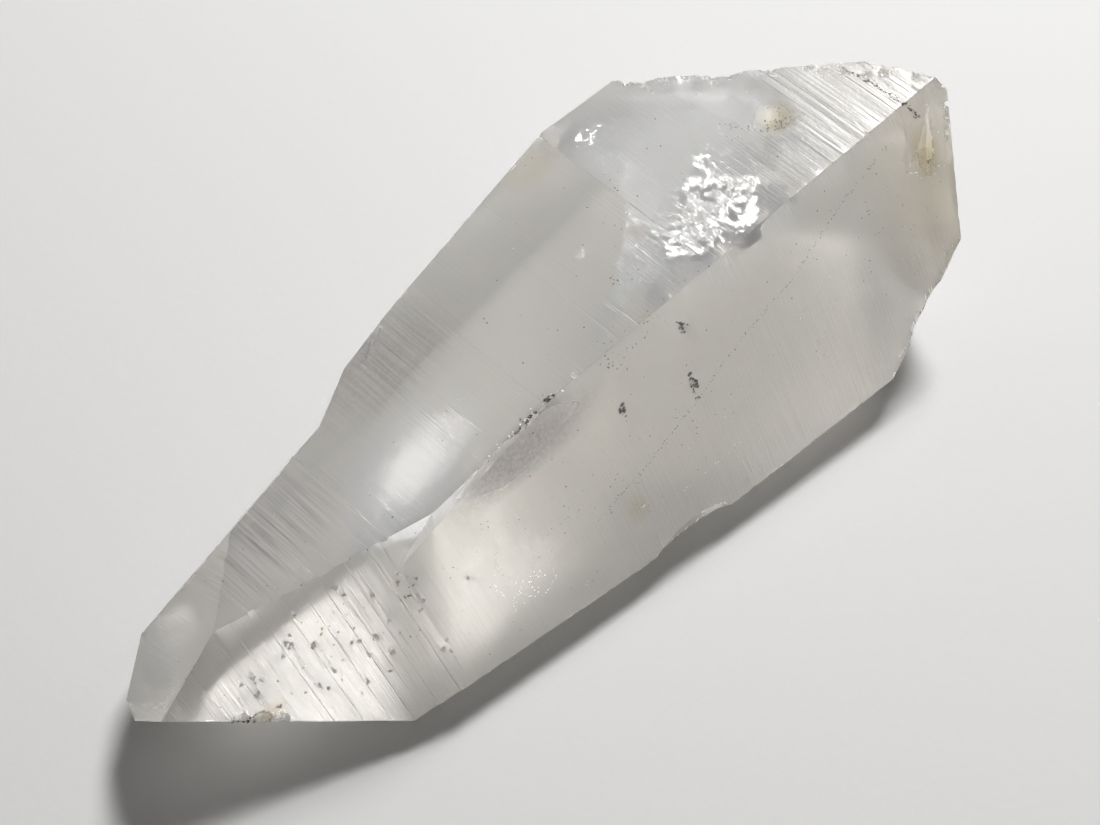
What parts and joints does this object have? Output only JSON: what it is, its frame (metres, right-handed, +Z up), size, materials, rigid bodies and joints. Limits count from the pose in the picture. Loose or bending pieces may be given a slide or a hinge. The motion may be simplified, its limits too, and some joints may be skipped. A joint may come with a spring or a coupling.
{
  "type": "quartz crystal point",
  "caption": "Clear tapering quartz crystal, wide and broken at the root and pointed at the tip, with stepped growth faces and chipped edges, lying on one long flat face.",
  "frame": {"origin": "middle of the bottom of the bounding box, at the height of the surface the crystal lies on", "axes": "+X along the crystal's length from the tip (-X) to the broken root (+X), +Z up out of the upper long face, +Y towards the back"},
  "size_m": [0.0884, 0.0396, 0.0292],
  "materials": {
    "quartz": "clear to faintly milky rock crystal, glossy on the flat faces, satin where growth lines and etching cross them"
  },
  "bodies": {
    "root": {"crystal": "quartz"}
  },
  "joints": []
}
